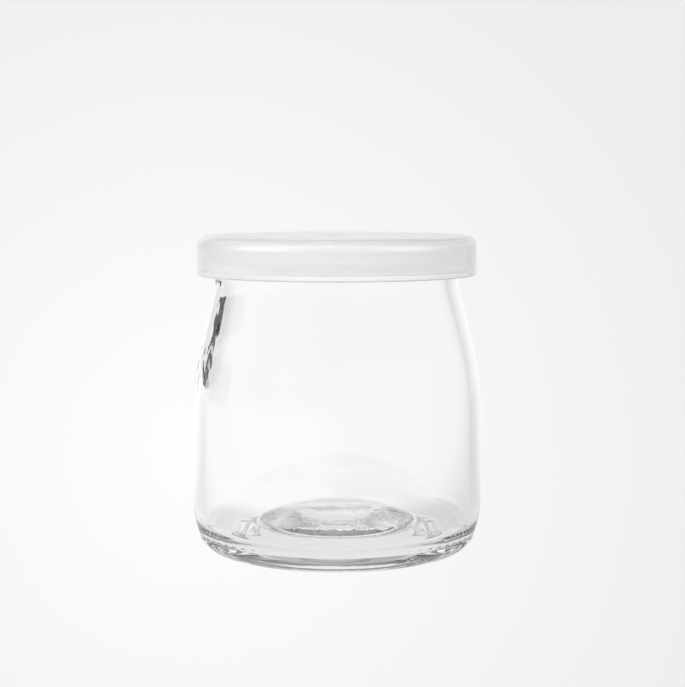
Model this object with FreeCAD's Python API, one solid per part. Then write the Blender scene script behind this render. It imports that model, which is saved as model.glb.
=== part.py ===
"""Glass pudding jar, empty, with its press-on plastic lid. Millimetres, +Z up.

The origin is the middle of the base, on the plane that the jar stands on. Both pieces are
turned about Z. The jar is one piece of pressed and blown glass: a rounded heel, an upright
wall, a leaning shoulder, a neck and a thick rounded rim. Under it a round field is pushed up
inside the ring that it stands on, and the floor rises over that field in a low dome. The lid
is one piece of moulded polyethylene. Its panel lies on the flat land of the rim, its plug
ring stands inside the mouth, and its hem snaps under the rim.
"""

import FreeCAD, Part
import math
import os

from FreeCAD import Vector

# ---- Jar, outside: each height is that of the corner where two straight runs would meet ----
JAR_HEIGHT = 74.6
BODY_RADIUS = 35.0
HEEL_INSET = 2.55
HEEL_HEIGHT = 9.0
HEEL_ARC = 5.5
HEEL_TOP_ARC = 17.0
SHOULDER_HEIGHT = 22.7
SHOULDER_ARC = 80.0
NECK_RADIUS = 29.25
NECK_ARC = 20.0

# ---- Jar, rim: the rounded bead that the lid grips, measured down from the top ----
RIM_RADIUS = 32.2
RIM_HEIGHT = 5.0
RIM_UNDERCUT = 1.7
NECK_HEIGHT = 3.4
RIM_TOP_ARC = 1.8
LIP_ARC = 1.6

# ---- Jar, inside ----
BODY_WALL = 2.7
NECK_WALL = 3.1
FLOOR_THICKNESS = 4.0
FLOOR_CORNER_ARC = 3.9

# ---- Jar, push-up: a slightly crowned field, with a flank down to the ring that it stands on ----
PUSH_UP_RADIUS = 17.8
PUSH_UP_HEIGHT = 6.25
PUSH_UP_CROWN = 0.6
PUSH_UP_FLANK = 5.5
STAND_RING_ARC = 2.7

# ---- Jar, dome of the floor: how far it reaches past the field of the push-up and above it ----
DOME_OVERHANG = 2.2
DOME_LIFT = 0.25
DOME_RISE = 4.9
DOME_FLANK = 3.1
DOME_FOOT_ARC = 2.6

# ---- Lid ----
LID_WALL = 1.2
LID_PANEL = 1.3
LID_HEIGHT = 9.45
LID_CORNER_ARC = 2.4
LID_FIT = 0.25
SNAP_CATCH = 0.55
SNAP_HEIGHT = 1.2
SNAP_LEAD = 0.5
PLUG_FIT = 0.2
PLUG_WALL = 1.0
PLUG_DEPTH = 2.2
GATE_RADIUS = 2.2
GATE_DEPTH = 0.25

# ---- Heights and radii that follow from the sizes above ----
MOUTH_RADIUS = NECK_RADIUS - NECK_WALL
INSIDE_RADIUS = BODY_RADIUS - BODY_WALL
RIM_FOOT = JAR_HEIGHT - RIM_HEIGHT
NECK_TOP = RIM_FOOT - RIM_UNDERCUT
NECK_FOOT = NECK_TOP - NECK_HEIGHT
SHOULDER_FOOT = NECK_FOOT - SHOULDER_HEIGHT
DOME_RADIUS = PUSH_UP_RADIUS + DOME_OVERHANG
DOME_HEIGHT = PUSH_UP_HEIGHT + DOME_LIFT

FULL_TURN = 360.0
SHORTEST_EDGE = 0.001


def at(radius, height):
    """Point of an outline, in the half plane that is turned about Z."""
    return Vector(radius, 0, height)


def arc_runs(points, arcs):
    """Length that the arc at each corner takes off both of its runs.

    Where two arcs would meet on a short run, both are made smaller until they just fit.
    """
    count = len(points)
    wanted = [0.0] * count
    for i in range(1, count - 1):
        turn = (points[i] - points[i - 1]).getAngle(points[i + 1] - points[i])
        wanted[i] = arcs[i] * math.tan(turn / 2)
    fitted = list(wanted)
    for i in range(count - 1):
        run = (points[i + 1] - points[i]).Length
        needed = wanted[i] + wanted[i + 1]
        if needed > run:
            fitted[i] = min(fitted[i], wanted[i] * run / needed)
            fitted[i + 1] = min(fitted[i + 1], wanted[i + 1] * run / needed)
    return fitted


def rounded_edges(corners):
    """Edges through (radius, height, arc) corners, with an arc tangent to both runs of each."""
    points = [at(radius, height) for radius, height, arc in corners]
    runs = arc_runs(points, [arc for radius, height, arc in corners])
    edges = []
    here = points[0]
    for i in range(1, len(points) - 1):
        back = (points[i - 1] - points[i]).normalize()
        ahead = (points[i + 1] - points[i]).normalize()
        arc_start = points[i] + back * runs[i]
        arc_end = points[i] + ahead * runs[i]
        if (arc_start - here).Length > SHORTEST_EDGE:
            edges.append(Part.makeLine(here, arc_start))
        here = arc_start
        if (arc_end - arc_start).Length > SHORTEST_EDGE:
            half_opening = back.getAngle(ahead) / 2
            arc = runs[i] * math.tan(half_opening)
            inward = (back + ahead).normalize()
            arc_middle = points[i] + inward * (arc / math.sin(half_opening) - arc)
            edges.append(Part.Arc(arc_start, arc_middle, arc_end).toShape())
            here = arc_end
    if (points[-1] - here).Length > SHORTEST_EDGE:
        edges.append(Part.makeLine(here, points[-1]))
    return edges


def dome_edge(radius, height, rise):
    """Arc from the edge of a dome to the axis, where it is level and has risen in full."""
    sphere = (radius**2 + rise**2) / (2 * rise)
    middle_drop = sphere - math.sqrt(sphere**2 - (radius / 2) ** 2)
    edge = at(radius, height)
    middle = at(radius / 2, height + rise - middle_drop)
    top = at(0, height + rise)
    return Part.Arc(edge, middle, top).toShape()


def turned(edges):
    """Solid made by turning a closed outline about Z."""
    outline = Part.Wire(Part.__sortEdges__(edges))
    return Part.Face(outline).revolve(Vector(0, 0, 0), Vector(0, 0, 1), FULL_TURN)


def jar_outside():
    """Corners from the edge of the push-up, round the heel and up to the mouth."""
    return [
        (PUSH_UP_RADIUS, PUSH_UP_HEIGHT, 0),
        (PUSH_UP_RADIUS + PUSH_UP_FLANK, 0, STAND_RING_ARC),
        (BODY_RADIUS - HEEL_INSET, 0, HEEL_ARC),
        (BODY_RADIUS, HEEL_HEIGHT, HEEL_TOP_ARC),
        (BODY_RADIUS, SHOULDER_FOOT, SHOULDER_ARC),
        (NECK_RADIUS, NECK_FOOT, NECK_ARC),
        (NECK_RADIUS, NECK_TOP, 0),
        (RIM_RADIUS, RIM_FOOT, 0),
        (RIM_RADIUS, JAR_HEIGHT, RIM_TOP_ARC),
    ]


def jar_inside():
    """Corners from the lip of the mouth down to the floor and in to the foot of its dome.

    Inside, each bend of the shoulder lies lower by what keeps the wall even round the bend.
    """
    lean = math.atan2(BODY_RADIUS - NECK_RADIUS, SHOULDER_HEIGHT)
    drop = math.tan(lean / 2)
    return [
        (MOUTH_RADIUS, JAR_HEIGHT, LIP_ARC),
        (MOUTH_RADIUS, NECK_FOOT - NECK_WALL * drop, NECK_ARC + NECK_WALL),
        (INSIDE_RADIUS, SHOULDER_FOOT - BODY_WALL * drop, SHOULDER_ARC - BODY_WALL),
        (INSIDE_RADIUS, FLOOR_THICKNESS, FLOOR_CORNER_ARC),
        (DOME_RADIUS + DOME_FLANK, FLOOR_THICKNESS, DOME_FOOT_ARC),
        (DOME_RADIUS, DOME_HEIGHT, 0),
    ]


def make_jar():
    """Whole glass jar, hollow, from one outline."""
    edges = rounded_edges(jar_outside() + jar_inside())
    edges.append(dome_edge(DOME_RADIUS, DOME_HEIGHT, DOME_RISE))
    edges.append(dome_edge(PUSH_UP_RADIUS, PUSH_UP_HEIGHT, PUSH_UP_CROWN))
    edges.append(Part.makeLine(
        at(0, DOME_HEIGHT + DOME_RISE), at(0, PUSH_UP_HEIGHT + PUSH_UP_CROWN)))
    return turned(edges)


def lid_corners():
    """Corners of the lid from its middle, over the top, round the hem and back underneath."""
    inside = RIM_RADIUS + LID_FIT
    outside = inside + LID_WALL
    catch = RIM_RADIUS - SNAP_CATCH
    seat = JAR_HEIGHT
    top = seat + LID_PANEL
    hem = top - LID_HEIGHT
    plug_outside = MOUTH_RADIUS - PLUG_FIT
    plug_inside = plug_outside - PLUG_WALL
    plug_foot = seat - PLUG_DEPTH
    return [
        (0, top - GATE_DEPTH, 0),
        (GATE_RADIUS, top - GATE_DEPTH, 0),
        (GATE_RADIUS + GATE_DEPTH, top, 0),
        (outside, top, LID_CORNER_ARC),
        (outside, hem, 0),
        (catch, hem, 0),
        (catch, hem + SNAP_HEIGHT, 0),
        (inside, hem + SNAP_HEIGHT + SNAP_LEAD, 0),
        (inside, seat, 0),
        (plug_outside, seat, 0),
        (plug_outside, plug_foot, 0),
        (plug_inside, plug_foot, 0),
        (plug_inside, seat, 0),
        (0, seat, 0),
    ]


def make_lid():
    """Whole lid, seated on the rim."""
    corners = lid_corners()
    edges = rounded_edges(corners)
    edges.append(Part.makeLine(at(*corners[-1][:2]), at(*corners[0][:2])))
    return turned(edges)


def main():
    os.makedirs("parts", exist_ok=True)
    pieces = {
        "jar": make_jar(),
        "lid": make_lid(),
    }
    for name, shape in pieces.items():
        shape.exportStep(f"parts/{name}.step")
        print(name, "valid", shape.isValid(), "volume", round(shape.Volume), "mm3")


main()
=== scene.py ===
"""Looks of the glass pudding jar and its press-on lid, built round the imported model. Metres.

Both pieces are turned about Z from outlines like those of the construction. In the base, the
push-up, the dome and some arcs are set a little differently here, for how they look through the
glass, and the hidden edges of the rim and the lid are rounded. The jar also has what making it
may leave behind: a wall that is uneven on one side, wrinkles on the pushed-up field of the
underside, and radial notches in the ring that the jar stands on. The outlines and the sizes
below are in millimetres, and they become metres when a mesh is made from them.
"""

import math

import bpy
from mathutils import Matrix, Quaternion, Vector


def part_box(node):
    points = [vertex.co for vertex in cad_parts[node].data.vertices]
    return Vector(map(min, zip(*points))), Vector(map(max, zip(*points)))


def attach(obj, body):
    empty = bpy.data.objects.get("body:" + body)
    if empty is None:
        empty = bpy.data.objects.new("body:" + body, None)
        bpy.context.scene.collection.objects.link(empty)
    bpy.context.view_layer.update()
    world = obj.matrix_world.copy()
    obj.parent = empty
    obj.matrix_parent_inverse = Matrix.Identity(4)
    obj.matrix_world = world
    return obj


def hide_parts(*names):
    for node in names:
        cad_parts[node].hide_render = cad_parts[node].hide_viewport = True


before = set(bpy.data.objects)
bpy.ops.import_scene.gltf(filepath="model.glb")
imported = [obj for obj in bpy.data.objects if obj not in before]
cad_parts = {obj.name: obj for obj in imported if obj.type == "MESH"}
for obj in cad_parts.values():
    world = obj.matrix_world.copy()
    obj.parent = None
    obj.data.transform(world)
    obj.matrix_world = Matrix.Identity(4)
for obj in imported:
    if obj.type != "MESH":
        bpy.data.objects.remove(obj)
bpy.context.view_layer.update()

MM = 0.001

# ---- Overall sizes, from the imported model ----
JAR_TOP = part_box("jar")[1].z / MM
BODY_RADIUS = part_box("jar")[1].x / MM
LID_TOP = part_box("lid")[1].z / MM
LID_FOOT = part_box("lid")[0].z / MM
LID_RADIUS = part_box("lid")[1].x / MM

# ---- Jar, outside ----
HEEL_INSET = 2.55
HEEL_HEIGHT = 9.0
HEEL_ARC = 5.5
HEEL_TOP_ARC = 17.0
SHOULDER_HEIGHT = 22.7
SHOULDER_ARC = 80.0
NECK_RADIUS = 29.25
NECK_ARC = 20.0
NECK_HEIGHT = 3.4

# ---- Jar, rim ----
RIM_RADIUS = 32.2
RIM_HEIGHT = 5.0
RIM_UNDERCUT = 1.7
UNDERCUT_ARC = 1.0
RIM_FOOT_ARC = 1.2
RIM_TOP_ARC = 1.8
LIP_ARC = 1.6
# The rim stops this far under the lid's panel, as two faces at one height would flicker.
SEAT_HAIR = 0.03

# ---- Jar, inside ----
BODY_WALL = 2.7
NECK_WALL = 3.1
FLOOR_THICKNESS = 4.0
FLOOR_CORNER_ARC = 5.0

# ---- Jar, base: push-up, standing ring, and the dome of the floor over them ----
PUSH_UP_RADIUS = 18.6
PUSH_UP_HEIGHT = 6.25
PUSH_UP_CROWN = 0.2
PUSH_UP_FLANK = 7.0
STAND_RING_ARC = 4.0
DOME_OVERHANG = 2.2
DOME_LIFT = 0.25
DOME_RISE = 4.9
DOME_FLANK = 3.1
DOME_FOOT_ARC = 4.0
DOME_RADIUS = PUSH_UP_RADIUS + DOME_OVERHANG
DOME_HEIGHT = PUSH_UP_HEIGHT + DOME_LIFT

# ---- Lid ----
LID_FIT = 0.25
LID_CORNER_ARC = 2.4
LID_INSIDE_ARC = 1.2
SNAP_CATCH = 0.55
SNAP_HEIGHT = 1.2
SNAP_LEAD = 0.5
HEM_ARC = 0.3
PLUG_FIT = 0.2
PLUG_WALL = 1.0
PLUG_DEPTH = 2.2
PLUG_ARC = 0.4
GATE_RADIUS = 2.2
GATE_DEPTH = 0.25
GATE_ARC = 0.25

# ---- What blowing does to the left wall: its inside drifts along X, and both sides ripple ----
DRIFT_FULL_AT = -22.0
WALL_DRIFTS = [
    {"Height": 53.0, "Spread": 7.0, "Drift": 0.4, "Full At": DRIFT_FULL_AT},
    {"Height": 66.0, "Spread": 2.5, "Drift": -0.5, "Full At": DRIFT_FULL_AT},
]
BODY_RIPPLES = {
    "Lowest": 36.0, "Highest": 65.0, "Widest": 36.0, "Rightmost": -22.0, "Depth": 0.06, "Size": 1.6,
}
BODY_RIPPLES_SEED = 3.0

# ---- What pressing does to the underside: wrinkles on its field, and notches in its ring ----
FIELD_WRINKLES = {
    "Lowest": 5.5, "Highest": 7.1, "Widest": 18.4, "Rightmost": 40.0, "Depth": 0.1, "Size": 1.6,
}
FIELD_WRINKLES_SEED = 8.0
NOTCH_COUNT = 60
NOTCHES = {"Depth": 0.15, "Start": 26.6, "End": 29.6, "Full Below": 0.5, "Top": 1.0}

# ---- Soft edges: as shares of a ripple's size, of a notch's length and of the notches' pitch ----
RIPPLE_EDGE = 0.3
RIPPLE_SIDE_EDGE = 4.0
NOTCH_EDGE = 0.3
NOTCH_HALF_WIDTH = 0.3

# ---- Fineness of the meshes ----
JAR_STEP = 1.1
LID_STEP = 3.0
ARC_STEP = math.radians(6)
GIRTH_STEPS = 6 * NOTCH_COUNT
WELD_DISTANCE = 0.001

# ---- Room that the glass sees: levels of white, and how it falls off from side to side ----
ROOM_WHITE = 1.03
ROOM_DIM = 0.05
# Each fall is (start, end, loss): azimuths in degrees, 0 behind the jar and growing to the right.
SIDE_FALLS = [(-6.0, 4.0, 0.05), (16.0, 48.0, 0.28), (-30.0, -55.0, 0.2)]
SHARE_BEHIND = 0.75
BEHIND_FROM = math.radians(90)
BEHIND_FULL = math.radians(150)

# ---- Room, dark part toward the camera: for light that turns back inside the glass ----
DIM_FROM = 0.15
DIM_FULL = -0.35
DIM_LEFT = -0.2
DIM_RIGHT = 0.4
DIM_SHARE_RIGHT = 0.15
DIM_FOOT = math.radians(-4)
DIM_RISE = math.radians(6)

# ---- Room, ceiling: a greyer belt between the walls and the overhead light ----
CEILING_DIP = 0.5
BELT_FOOT = math.radians(12)
BELT_FULL = math.radians(35)
BELT_FADE = math.radians(60)
BELT_TOP = math.radians(80)

# ---- Room, black cards: (right, left, foot, top, softness) in degrees ----
NARROW_CARD = (-33.5, -48.0, -1.2, 8.6, 0.6)
UPPER_CARD = (-30.0, -72.0, 0.0, 36.0, 5.0)
SIDE_CARD = (-50.0, -80.0, -0.5, 12.0, 3.0)
CARD_LOSS = 0.97

# ---- Fill: what the milky lid scatters, brighter than the room so that it reads as white ----
FILL = 3.1
FILL_OVERHEAD = 1.3
OVERHEAD_FROM = math.radians(20)
OVERHEAD_FULL = math.radians(60)

# ---- Backdrop: brightest one way, and darker by a share for each radian away from it ----
BRIGHTEST_WAY = (-0.086, 0.983, -0.161)
BACKDROP_BRIGHTEST = 0.998
BACKDROP_FALL = 0.2
BACKDROP_DARKEST = 0.93

# ---- Floor, in metres but for the two shade radii: its glow is a little lower under the jar, a painted shadow ----
FLOOR_REACH = 0.6
FLOOR_SIDES = 96
FLOOR_DROP = 0.02 * MM
FLOOR_GLOW = 1.03
FLOOR_GLOW_IN_PAINTED_SHADOW = 0.84
SHADE_START = 24.0
SHADE_END = 33.0

# ---- Soft box and camera, in metres ----
SOFT_BOX_POWER = 3.5
SOFT_BOX_PLACE = (-0.6, -0.4, 0.45)
SOFT_BOX_SIZE = 0.8
CAMERA_LENS = 86.83
CAMERA_FILM = 36.0
CAMERA_PLACE = (0.001379, -0.400, 0.0886)
CAMERA_DIP = math.radians(5.561)

LIGHT_BOUNCES = 24

MATH = "ShaderNodeMath"
VECTOR_MATH = "ShaderNodeVectorMath"
MAP_RANGE = "ShaderNodeMapRange"
MIX = "ShaderNodeMix"


def vector(radius, height):
    """Point of an outline, in the half plane that is turned about Z."""
    return Vector((radius, 0, height))


def fill_run(line, end, longest_step):
    """Carries a line on to a point, in even steps."""
    start = line[-1]
    steps = math.ceil((end - start).length / longest_step)
    for step in range(1, steps + 1):
        line.append(start.lerp(end, step / steps))


def rounded(corners, longest_step):
    """Points along straight runs and tangent arcs through (radius, height, arc) corners."""
    points = [vector(radius, height) for radius, height, arc in corners]
    line = [points[0]]
    for i in range(1, len(points) - 1):
        back = (points[i - 1] - points[i]).normalized()
        ahead = (points[i + 1] - points[i]).normalized()
        arc = corners[i][2]
        turn = math.pi - back.angle(ahead)
        run = arc * math.tan(turn / 2)
        middle = points[i] + (back + ahead).normalized() * (arc / math.cos(turn / 2))
        start = points[i] + back * run
        end = points[i] + ahead * run
        fill_run(line, start, longest_step)
        if arc:
            steps = max(math.ceil(turn / ARC_STEP), math.ceil(turn * arc / longest_step))
            axle = (start - middle).cross(end - middle)
            for step in range(1, steps + 1):
                spoke = Quaternion(axle, turn * step / steps) @ (start - middle)
                line.append(middle + spoke)
    fill_run(line, points[-1], longest_step)
    return line


def crown(radius, height, rise):
    """Points of a shallow crown from its edge to the axis."""
    sphere = (radius**2 + rise**2) / (2 * rise)
    steps = math.ceil(radius / JAR_STEP)
    radii = [radius * (1 - step / steps) for step in range(steps + 1)]
    return [vector(r, height + rise - sphere + math.sqrt(sphere**2 - r**2)) for r in radii]


def jar_outline():
    """Outline of the glass from the axis of the underside, up the outside, and in to the floor."""
    rim_foot = JAR_TOP - RIM_HEIGHT
    neck_top = rim_foot - RIM_UNDERCUT
    neck_foot = neck_top - NECK_HEIGHT
    shoulder_foot = neck_foot - SHOULDER_HEIGHT
    rim_top = JAR_TOP - SEAT_HAIR
    mouth = NECK_RADIUS - NECK_WALL
    inside = BODY_RADIUS - BODY_WALL
    drop = math.tan(math.atan2(BODY_RADIUS - NECK_RADIUS, SHOULDER_HEIGHT) / 2)
    shell = [
        (PUSH_UP_RADIUS, PUSH_UP_HEIGHT, 0),
        (PUSH_UP_RADIUS + PUSH_UP_FLANK, 0, STAND_RING_ARC),
        (BODY_RADIUS - HEEL_INSET, 0, HEEL_ARC),
        (BODY_RADIUS, HEEL_HEIGHT, HEEL_TOP_ARC),
        (BODY_RADIUS, shoulder_foot, SHOULDER_ARC),
        (NECK_RADIUS, neck_foot, NECK_ARC),
        (NECK_RADIUS, neck_top, UNDERCUT_ARC),
        (RIM_RADIUS, rim_foot, RIM_FOOT_ARC),
        (RIM_RADIUS, rim_top, RIM_TOP_ARC),
        (mouth, rim_top, LIP_ARC),
        (mouth, neck_foot - NECK_WALL * drop, NECK_ARC + NECK_WALL),
        (inside, shoulder_foot - BODY_WALL * drop, SHOULDER_ARC - BODY_WALL),
        (inside, FLOOR_THICKNESS, FLOOR_CORNER_ARC),
        (DOME_RADIUS + DOME_FLANK, FLOOR_THICKNESS, DOME_FOOT_ARC),
        (DOME_RADIUS, DOME_HEIGHT, 0),
    ]
    push_up = crown(PUSH_UP_RADIUS, PUSH_UP_HEIGHT, PUSH_UP_CROWN)[::-1]
    dome = crown(DOME_RADIUS, DOME_HEIGHT, DOME_RISE)
    return push_up + rounded(shell, JAR_STEP)[1:] + dome[1:]


def lid_outline():
    """Outline of the lid from the axis of its underside, down the plug, round the hem and over."""
    inside = RIM_RADIUS + LID_FIT
    catch = RIM_RADIUS - SNAP_CATCH
    plug_outside = NECK_RADIUS - NECK_WALL - PLUG_FIT
    plug_inside = plug_outside - PLUG_WALL
    plug_foot = JAR_TOP - PLUG_DEPTH
    return rounded([
        (0, JAR_TOP, 0),
        (plug_inside, JAR_TOP, PLUG_ARC),
        (plug_inside, plug_foot, PLUG_ARC),
        (plug_outside, plug_foot, PLUG_ARC),
        (plug_outside, JAR_TOP, 0),
        (inside, JAR_TOP, LID_INSIDE_ARC),
        (inside, LID_FOOT + SNAP_HEIGHT + SNAP_LEAD, HEM_ARC),
        (catch, LID_FOOT + SNAP_HEIGHT, HEM_ARC),
        (catch, LID_FOOT, HEM_ARC),
        (LID_RADIUS, LID_FOOT, HEM_ARC),
        (LID_RADIUS, LID_TOP, LID_CORNER_ARC),
        (GATE_RADIUS + GATE_DEPTH, LID_TOP, GATE_ARC),
        (GATE_RADIUS, LID_TOP - GATE_DEPTH, GATE_ARC),
        (0, LID_TOP - GATE_DEPTH, 0),
    ], LID_STEP)


def inside_of_wall(point):
    """True for a point of the outline between the floor and the neck that faces the inside."""
    lean = (BODY_RADIUS - NECK_RADIUS) / SHOULDER_HEIGHT
    neck_foot = JAR_TOP - RIM_HEIGHT - RIM_UNDERCUT - NECK_HEIGHT
    shoulder_foot = neck_foot - SHOULDER_HEIGHT
    middle_of_wall = BODY_RADIUS - BODY_WALL / 2 - lean * max(0, point.z - shoulder_foot)
    middle_of_neck = NECK_RADIUS - NECK_WALL / 2
    over_floor = point.z > FLOOR_THICKNESS + FLOOR_CORNER_ARC
    return over_floor and point.x < max(middle_of_wall, middle_of_neck)


def add_node(tree, kind, inputs=(), **settings):
    """Adds a node with its settings.

    Each input is a plain value, the socket that feeds it, or the node whose first output does.
    """
    node = tree.nodes.new(kind)
    for name, value in settings.items():
        setattr(node, name, value)
    for name, value in dict(inputs).items():
        source = value.outputs[0] if isinstance(value, bpy.types.Node) else value
        if isinstance(source, bpy.types.NodeSocket):
            tree.links.new(source, node.inputs[name])
        else:
            node.inputs[name].default_value = source
    return node


def faded(tree, level, value, start, end, loss=1.0):
    """Takes a share off a level, from none of it where a value is at the start to all at the end."""
    limits = {"Value": value, "From Min": start, "From Max": end, "To Min": 1.0, "To Max": 1.0 - loss}
    kept = add_node(tree, MAP_RANGE, limits, interpolation_type="SMOOTHSTEP")
    return add_node(tree, MATH, {0: level, 1: kept}, operation="MULTIPLY")


def shaping_tree(name, inputs):
    """Geometry Nodes group with a skin and its finish going in, and further inputs by name."""
    tree = bpy.data.node_groups.new(name, "GeometryNodeTree")
    tree.interface.new_socket("Skin", in_out="INPUT", socket_type="NodeSocketGeometry")
    for label, kind in {**inputs, "Finish": "Material"}.items():
        tree.interface.new_socket(label, in_out="INPUT", socket_type="NodeSocket" + kind)
    tree.interface.new_socket("Skin", in_out="OUTPUT", socket_type="NodeSocketGeometry")
    return tree, add_node(tree, "NodeGroupInput").outputs


def finished_tree(tree, given, skin):
    """Ends a group with a skin made real and given its finish."""
    real = add_node(tree, "GeometryNodeRealizeInstances", {"Geometry": skin})
    dressed = {"Geometry": real, "Material": given["Finish"]}
    add_node(tree, "NodeGroupOutput", {"Skin": add_node(tree, "GeometryNodeSetMaterial", dressed)})
    return tree


def place_of_point(tree):
    """Place of a point, its X, Y and Z, and its distance from the axis."""
    place = add_node(tree, "GeometryNodeInputPosition")
    parts = add_node(tree, "ShaderNodeSeparateXYZ", {0: place}).outputs
    across = add_node(tree, "ShaderNodeCombineXYZ", {"X": parts["X"], "Y": parts["Y"]})
    radius = add_node(tree, VECTOR_MATH, {0: across}, operation="LENGTH").outputs["Value"]
    return place, parts, radius


def turning_tree():
    """Geometry Nodes that turn an outline about Z into a closed, smooth skin.

    Each point of the skin keeps the share that says whether it is on the inside of the wall.
    """
    tree, given = shaping_tree("turned_about_z", {"Girth Steps": "Int"})
    outline = given["Skin"]
    girth_steps = given["Girth Steps"]
    size = add_node(tree, "GeometryNodeAttributeDomainSize", {"Geometry": outline})
    rows = size.outputs["Point Count"]
    columns = add_node(tree, MATH, {0: girth_steps, 1: 1.0}, operation="ADD")
    grid = add_node(tree, "GeometryNodeMeshGrid", {"Vertices X": columns, "Vertices Y": rows})

    index = add_node(tree, "GeometryNodeInputIndex")
    row = add_node(tree, MATH, {0: index, 1: rows}, operation="MODULO")
    passed = add_node(tree, MATH, {0: index, 1: rows}, operation="DIVIDE")
    column = add_node(tree, MATH, {0: passed}, operation="FLOOR")
    turn = add_node(tree, MATH, {0: column, 1: girth_steps}, operation="DIVIDE")
    angle = add_node(tree, MATH, {0: turn, 1: math.tau}, operation="MULTIPLY")

    place = add_node(tree, "GeometryNodeInputPosition")
    inner = add_node(tree, "GeometryNodeInputNamedAttribute", {"Name": "inner"}, data_type="FLOAT")
    sampled = {}
    for kind, value in (("FLOAT_VECTOR", place), ("FLOAT", inner)):
        asked = {"Geometry": outline, "Value": value, "Index": row}
        sample = add_node(tree, "GeometryNodeSampleIndex", asked, data_type=kind)
        sampled[kind] = sample.outputs["Value"]

    turned = add_node(
        tree,
        "ShaderNodeVectorRotate",
        {"Vector": sampled["FLOAT_VECTOR"], "Axis": (0, 0, 1), "Angle": angle},
        rotation_type="AXIS_ANGLE",
    )
    marked = add_node(
        tree,
        "GeometryNodeStoreNamedAttribute",
        {"Geometry": grid, "Name": "inner", "Value": sampled["FLOAT"]},
        data_type="FLOAT",
        domain="POINT",
    )
    skin = add_node(tree, "GeometryNodeSetPosition", {"Geometry": marked, "Position": turned})
    weld = {"Geometry": skin, "Distance": WELD_DISTANCE * MM}
    welded = add_node(tree, "GeometryNodeMergeByDistance", weld)
    smooth = add_node(tree, "GeometryNodeSetShadeSmooth", {"Geometry": welded})
    return finished_tree(tree, given, smooth)


def drift_tree():
    """Geometry Nodes that move the inside of the left wall sideways, most at one height."""
    labels = ("Height", "Spread", "Drift", "Full At")
    tree, given = shaping_tree("drifted_wall", dict.fromkeys(labels, "Float"))
    place, parts, radius = place_of_point(tree)
    inner = add_node(tree, "GeometryNodeInputNamedAttribute", {"Name": "inner"}, data_type="FLOAT")
    above = add_node(tree, MATH, {0: parts["Z"], 1: given["Height"]}, operation="SUBTRACT")
    away = add_node(tree, MATH, {0: above, 1: given["Spread"]}, operation="DIVIDE")
    square = add_node(tree, MATH, {0: away, 1: away}, operation="MULTIPLY")
    power = add_node(tree, MATH, {0: square, 1: -1.0}, operation="MULTIPLY")
    bell = add_node(tree, MATH, {0: power}, operation="EXPONENT")
    share = add_node(tree, MATH, {0: bell, 1: inner}, operation="MULTIPLY")
    share = faded(tree, share, parts["X"], given["Full At"], 0.0)
    drift = add_node(tree, MATH, {0: share, 1: given["Drift"]}, operation="MULTIPLY")
    offset = add_node(tree, "ShaderNodeCombineXYZ", {"X": drift})
    shift = {"Geometry": given["Skin"], "Offset": offset}
    return finished_tree(tree, given, add_node(tree, "GeometryNodeSetPosition", shift))


def ripple_tree():
    """Geometry Nodes that raise and sink a part of the skin by a fixed pattern of noise."""
    labels = ("Lowest", "Highest", "Widest", "Rightmost", "Depth", "Size", "Seed")
    tree, given = shaping_tree("rippled_part", dict.fromkeys(labels, "Float"))
    place, parts, radius = place_of_point(tree)
    limits = (
        ("Lowest", parts["Z"], RIPPLE_EDGE),
        ("Highest", parts["Z"], -RIPPLE_EDGE),
        ("Widest", radius, -RIPPLE_EDGE),
        ("Rightmost", parts["X"], -RIPPLE_SIDE_EDGE),
    )
    share = 1.0
    for label, value, edge in limits:
        run = {0: given["Size"], 1: edge, 2: given[label]}
        full = add_node(tree, MATH, run, operation="MULTIPLY_ADD")
        share = faded(tree, share, value, full, given[label])
    scale = add_node(tree, MATH, {0: 1.0, 1: given["Size"]}, operation="DIVIDE")
    noise = add_node(
        tree,
        "ShaderNodeTexNoise",
        {"Vector": place, "W": given["Seed"], "Scale": scale, "Detail": 1.0},
        noise_dimensions="4D",
    )
    swing = add_node(tree, MATH, {0: noise, 1: 2.0, 2: -1.0}, operation="MULTIPLY_ADD")
    lift = add_node(tree, MATH, {0: swing, 1: given["Depth"]}, operation="MULTIPLY")
    lift = add_node(tree, MATH, {0: lift, 1: share}, operation="MULTIPLY")
    normal = add_node(tree, "GeometryNodeInputNormal")
    offset = add_node(tree, VECTOR_MATH, {0: normal, "Scale": lift}, operation="SCALE")
    shift = {"Geometry": given["Skin"], "Offset": offset}
    return finished_tree(tree, given, add_node(tree, "GeometryNodeSetPosition", shift))


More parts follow.
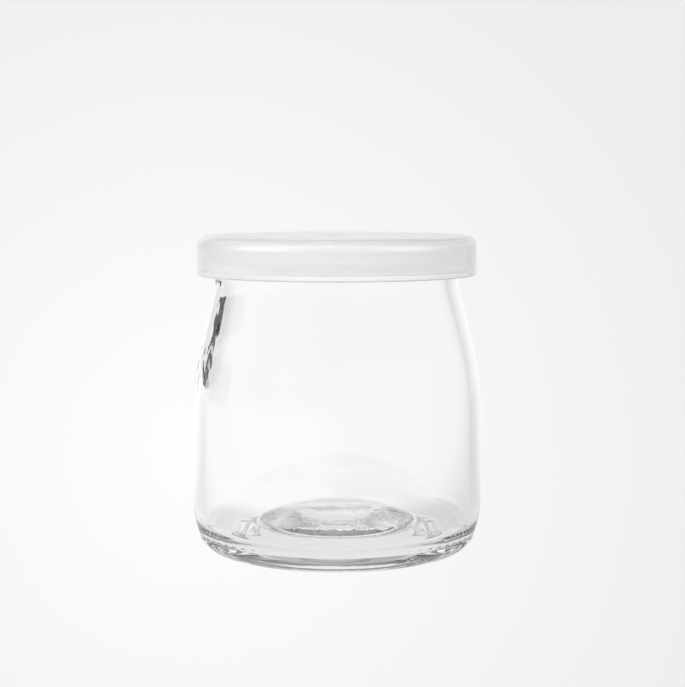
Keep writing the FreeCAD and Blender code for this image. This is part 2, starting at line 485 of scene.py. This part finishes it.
def notch_tree():
    """Geometry Nodes that press radial notches into the ring that the jar stands on."""
    labels = ("Depth", "Start", "End", "Full Below", "Top")
    inputs = {"Count": "Int", **dict.fromkeys(labels, "Float")}
    tree, given = shaping_tree("notched_ring", inputs)
    place, parts, radius = place_of_point(tree)
    angle = add_node(tree, MATH, {0: parts["Y"], 1: parts["X"]}, operation="ARCTAN2")
    turns = add_node(tree, MATH, {0: angle, 1: math.tau}, operation="DIVIDE")
    pitches = add_node(tree, MATH, {0: turns, 1: given["Count"]}, operation="MULTIPLY")
    from_middle = add_node(tree, MATH, {0: pitches, 1: 0.5}, operation="PINGPONG")
    share = faded(tree, 1.0, from_middle, 0.0, NOTCH_HALF_WIDTH)
    length = add_node(tree, MATH, {0: given["End"], 1: given["Start"]}, operation="SUBTRACT")
    for label, edge in (("Start", NOTCH_EDGE), ("End", -NOTCH_EDGE)):
        run = {0: length, 1: edge, 2: given[label]}
        full = add_node(tree, MATH, run, operation="MULTIPLY_ADD")
        share = faded(tree, share, radius, full, given[label])
    share = faded(tree, share, parts["Z"], given["Full Below"], given["Top"])
    rise = add_node(tree, MATH, {0: share, 1: given["Depth"]}, operation="MULTIPLY")
    offset = add_node(tree, "ShaderNodeCombineXYZ", {"Z": rise})
    shift = {"Geometry": given["Skin"], "Offset": offset}
    return finished_tree(tree, given, add_node(tree, "GeometryNodeSetPosition", shift))


def modified(source, name, tree, values):
    """Plain mesh made by running a tree, with its inputs set by name, on a mesh."""
    carrier = bpy.data.objects.new(name + "_carrier", source)
    bpy.context.scene.collection.objects.link(carrier)
    modifier = carrier.modifiers.new(tree.name, "NODES")
    modifier.node_group = tree
    for item in tree.interface.items_tree:
        if item.in_out == "INPUT" and item.name in values:
            modifier[item.identifier] = values[item.name]
    evaluated = carrier.evaluated_get(bpy.context.evaluated_depsgraph_get())
    mesh = bpy.data.meshes.new_from_object(evaluated)
    bpy.data.objects.remove(carrier)
    mesh.name = name
    return mesh


def turned_mesh(name, outline, inner, finish):
    """Mesh turned about Z from an outline, with its inside marked."""
    line = bpy.data.meshes.new(name + "_outline")
    edges = [(i, i + 1) for i in range(len(outline) - 1)]
    line.from_pydata([point * MM for point in outline], edges, [])
    mark = line.attributes.new("inner", "FLOAT", "POINT")
    mark.data.foreach_set("value", [1.0 if inner(point) else 0.0 for point in outline])
    return modified(line, name, turning_tree(), {"Girth Steps": GIRTH_STEPS, "Finish": finish})


def placed(name, mesh):
    """Object at the origin that holds a mesh."""
    piece = bpy.data.objects.new(name, mesh)
    bpy.context.scene.collection.objects.link(piece)
    return piece


def metres(sizes):
    """Sizes by label, from millimetres."""
    return {label: size * MM for label, size in sizes.items()}


def jar_piece():
    """Glass: turned, blown unevenly on its left, wrinkled under its push-up, and notched."""
    finish = glass()
    drifting = drift_tree()
    rippling = ripple_tree()
    steps = [(drifting, metres(drift)) for drift in WALL_DRIFTS]
    steps.append((rippling, {**metres(BODY_RIPPLES), "Seed": BODY_RIPPLES_SEED}))
    steps.append((rippling, {**metres(FIELD_WRINKLES), "Seed": FIELD_WRINKLES_SEED}))
    steps.append((notch_tree(), {**metres(NOTCHES), "Count": NOTCH_COUNT}))
    mesh = turned_mesh("jar_glass", jar_outline(), inside_of_wall, finish)
    for tree, values in steps:
        mesh = modified(mesh, "jar_glass", tree, {**values, "Finish": finish})
    return placed("jar_glass", mesh)


def lid_piece():
    """Lid: turned, and even all round, with no part of it marked as the inside of the wall."""
    mesh = turned_mesh("lid_shell", lid_outline(), lambda point: False, polyethylene())
    return placed("lid_shell", mesh)


def linear(colour):
    """Linear colour from an sRGB hex string."""
    shares = [int(colour[i:i + 2], 16) / 255 for i in (0, 2, 4)]
    return [s / 12.92 if s <= 0.04045 else ((s + 0.055) / 1.055) ** 2.4 for s in shares] + [1.0]


def principled(name, inputs):
    """Material with one Principled shader, its inputs set by name."""
    material = bpy.data.materials.new(name)
    material.use_nodes = True
    skin = material.node_tree.nodes["Principled BSDF"]
    for label, value in inputs.items():
        skin.inputs[label].default_value = value
    return material


def glass():
    """Soda-lime glass, pressed and blown, then polished by fire: clear, with a mirror-like skin."""
    return principled("soda_lime_glass_blown", {
        "Base Color": linear("FEFEFE"),
        "Roughness": 0.0,
        "IOR": 1.52,
        "Transmission Weight": 1.0,
    })


def polyethylene():
    """Low-density polyethylene, injection moulded: milky and satin, as it scatters the light."""
    return principled("ldpe_moulded", {
        "Base Color": linear("FAFAFA"),
        "Roughness": 0.25,
        "IOR": 1.51,
        "Transmission Weight": 0.7,
    })


def side_share(tree, azimuth):
    """Share of its full white that the room has left at an azimuth: it falls off to both sides.

    Behind the camera both sides meet at one share, so that the room has no seam there.
    """
    share = 1.0
    for start, end, loss in SIDE_FALLS:
        share = faded(tree, share, azimuth, math.radians(start), math.radians(end), loss)
    aside = add_node(tree, MATH, {0: azimuth}, operation="ABSOLUTE")
    limits = {"Value": aside, "From Min": BEHIND_FROM, "From Max": BEHIND_FULL}
    behind = add_node(tree, MAP_RANGE, limits, interpolation_type="SMOOTHSTEP")
    return add_node(tree, MIX, {0: behind, 2: share, 3: SHARE_BEHIND}, data_type="FLOAT")


def window(tree, level, azimuth, elevation, card):
    """Keeps a level inside a card's window of azimuth and elevation, and takes it off outside."""
    right, left, foot, top, softness = card
    soft = math.radians(softness)
    sides = (
        (azimuth, right, -soft),
        (azimuth, left, soft),
        (elevation, foot, soft),
        (elevation, top, -soft),
    )
    for value, edge, inward in sides:
        at = math.radians(edge)
        level = faded(tree, level, value, at + inward, at - inward)
    return level


def backdrop_level(tree, toward):
    """Backdrop as the camera sees it: brightest low on the left, and a little darker outward."""
    ways = {0: toward, 1: BRIGHTEST_WAY}
    aligned = add_node(tree, VECTOR_MATH, ways, operation="DOT_PRODUCT").outputs["Value"]
    capped = add_node(tree, MATH, {0: aligned, 1: 1.0}, operation="MINIMUM")
    away = add_node(tree, MATH, {0: capped}, operation="ARCCOSINE")
    fall = {0: away, 1: -BACKDROP_FALL, 2: BACKDROP_BRIGHTEST}
    shown = add_node(tree, MATH, fall, operation="MULTIPLY_ADD")
    shown = add_node(tree, MATH, {0: shown, 1: BACKDROP_DARKEST}, operation="MAXIMUM")
    # The last three steps turn the shown level to linear, as linear() does for a colour.
    raised = add_node(tree, MATH, {0: shown, 1: 0.055}, operation="ADD")
    share = add_node(tree, MATH, {0: raised, 1: 1.055}, operation="DIVIDE")
    return add_node(tree, MATH, {0: share, 1: 2.4}, operation="POWER")


def room_level(tree, ray, x, y, azimuth, elevation):
    """Room as the glass sees it: white, dim toward the camera, with black cards on the left.

    The dim part and the side card are only for light that turned back inside the glass, and the
    upper card only for light that never went in, so what is seen straight through stays white.
    """
    depths = {0: ray["Glossy Depth"], 1: ray["Transmission Depth"]}
    turned_back = add_node(tree, MATH, depths, operation="MULTIPLY")
    turned_back = add_node(tree, MATH, {0: turned_back, 1: 1.0}, operation="MINIMUM")
    went_in = add_node(tree, MATH, {0: ray["Transmission Depth"], 1: 1.0}, operation="MINIMUM")
    stayed_out = add_node(tree, MATH, {0: 1.0, 1: went_in}, operation="SUBTRACT")

    dim = faded(tree, turned_back, y, DIM_FULL, DIM_FROM)
    dim = faded(tree, dim, x, DIM_LEFT, DIM_RIGHT, 1 - DIM_SHARE_RIGHT)
    dim = faded(tree, dim, elevation, DIM_RISE, DIM_FOOT)
    blend = {0: dim, 1: ROOM_DIM - ROOM_WHITE, 2: ROOM_WHITE}
    level = add_node(tree, MATH, blend, operation="MULTIPLY_ADD")

    belt = faded(tree, 1.0, elevation, BELT_FULL, BELT_FOOT)
    belt = faded(tree, belt, elevation, BELT_FADE, BELT_TOP)
    narrow = window(tree, 1.0, azimuth, elevation, NARROW_CARD)
    beside = window(tree, turned_back, azimuth, elevation, SIDE_CARD)
    above = window(tree, stayed_out, azimuth, elevation, UPPER_CARD)
    cards = add_node(tree, MATH, {0: narrow, 1: beside}, operation="MAXIMUM")
    cards = add_node(tree, MATH, {0: cards, 1: above}, operation="MAXIMUM")
    share = side_share(tree, azimuth)
    level = add_node(tree, MATH, {0: level, 1: share}, operation="MULTIPLY")
    for dark, loss in ((belt, CEILING_DIP), (cards, CARD_LOSS)):
        kept = add_node(tree, MATH, {0: dark, 1: -loss, 2: 1.0}, operation="MULTIPLY_ADD")
        level = add_node(tree, MATH, {0: level, 1: kept}, operation="MULTIPLY")
    return level


def studio():
    """World: a clean backdrop for the camera, a room for the glass and a fill for the lid."""
    world = bpy.data.worlds.new("studio")
    world.use_nodes = True
    bpy.context.scene.world = world
    tree = world.node_tree
    ray = add_node(tree, "ShaderNodeLightPath").outputs
    toward = add_node(tree, "ShaderNodeTexCoord").outputs["Generated"]
    x, y, z = add_node(tree, "ShaderNodeSeparateXYZ", {0: toward}).outputs
    azimuth = add_node(tree, MATH, {0: x, 1: y}, operation="ARCTAN2")
    elevation = add_node(tree, MATH, {0: z}, operation="ARCSINE")
    room = room_level(tree, ray, x, y, azimuth, elevation)
    overhead_loss = 1 - FILL_OVERHEAD / FILL
    fill = faded(tree, FILL, elevation, OVERHEAD_FROM, OVERHEAD_FULL, overhead_loss)
    backdrop = backdrop_level(tree, toward)
    level = add_node(tree, MIX, {0: ray["Is Diffuse Ray"], 2: room, 3: fill}, data_type="FLOAT")
    seen = add_node(tree, MIX, {0: ray["Is Camera Ray"], 2: level, 3: backdrop}, data_type="FLOAT")
    tree.links.new(seen.outputs[0], tree.nodes["Background"].inputs["Color"])


def floor():
    """Pale floor that glows in place of a lit floor, as a light table does, so that nothing casts a
    shadow on it.

    Under the jar its glow is lower, a painted shadow. Away from the jar it falls off to the sides as
    the room does, a painted fall of light, so that the two meet unseen.
    """
    turns = [math.tau * i / FLOOR_SIDES for i in range(FLOOR_SIDES)]
    rim = [(FLOOR_REACH * math.cos(turn), FLOOR_REACH * math.sin(turn), 0) for turn in turns]
    mesh = bpy.data.meshes.new("floor")
    mesh.from_pydata(rim, [], [range(FLOOR_SIDES)])
    material = principled("glowing_floor_painted_shadow", {
        "Base Color": linear("000000"),
        "Emission Color": linear("FFFFFF"),
        "Roughness": 1.0,
        "Specular IOR Level": 0.0,
    })
    tree = material.node_tree
    place = add_node(tree, "ShaderNodeTexCoord").outputs["Object"]
    radius = add_node(tree, VECTOR_MATH, {0: place}, operation="LENGTH").outputs["Value"]
    parts = add_node(tree, "ShaderNodeSeparateXYZ", {0: place}).outputs
    azimuth = add_node(tree, MATH, {0: parts["X"], 1: parts["Y"]}, operation="ARCTAN2")
    # Painted fall of light: the glow dims to the sides as the room's light does.
    share = side_share(tree, azimuth)
    open_glow = add_node(tree, MATH, {0: share, 1: FLOOR_GLOW}, operation="MULTIPLY")
    # Painted shadow: the glow is lower under the jar, where the jar would shade a lit floor.
    limits = {"Value": radius, "From Min": SHADE_START * MM, "From Max": SHADE_END * MM}
    outside_painted_shadow = add_node(tree, MAP_RANGE, limits, interpolation_type="SMOOTHSTEP")
    glow = add_node(tree, MIX, {0: outside_painted_shadow, 2: FLOOR_GLOW_IN_PAINTED_SHADOW, 3: open_glow}, data_type="FLOAT")
    tree.links.new(glow.outputs[0], tree.nodes["Principled BSDF"].inputs["Emission Strength"])
    mesh.materials.append(material)
    plane = placed("floor", mesh)
    plane.location.z = -FLOOR_DROP
    plane.visible_camera = False


def soft_box():
    """Broad soft light from the front left, which only the milky lid takes up."""
    light = bpy.data.lights.new("soft_box", "AREA")
    light.shape = "SQUARE"
    light.size = SOFT_BOX_SIZE
    light.energy = SOFT_BOX_POWER
    box = bpy.data.objects.new("soft_box", light)
    box.location = SOFT_BOX_PLACE
    toward_lid = Vector((0, 0, JAR_TOP * MM)) - Vector(SOFT_BOX_PLACE)
    box.rotation_euler = toward_lid.to_track_quat("-Z", "Y").to_euler()
    box.visible_camera = False
    box.visible_glossy = False
    box.visible_transmission = False
    bpy.context.scene.collection.objects.link(box)


def camera():
    """Camera at about the height of the lid, tipped down a little."""
    data = bpy.data.cameras.new("camera")
    data.lens = CAMERA_LENS
    data.sensor_width = CAMERA_FILM
    cam = bpy.data.objects.new("camera", data)
    cam.location = CAMERA_PLACE
    cam.rotation_euler = (math.radians(90) - CAMERA_DIP, 0, 0)
    bpy.context.scene.collection.objects.link(cam)
    bpy.context.scene.camera = cam


pieces = (
    (jar_piece(), "jar", "clear_glass"),
    (lid_piece(), "lid", "milky_polyethylene"),
)
for piece, node, slot in pieces:
    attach(piece, "root")
    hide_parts(node)
studio()
floor()
soft_box()
camera()
scene = bpy.context.scene
scene.view_settings.view_transform = "Standard"
for kind in ("max_bounces", "transmission_bounces", "glossy_bounces", "diffuse_bounces"):
    setattr(scene.cycles, kind, LIGHT_BOUNCES)
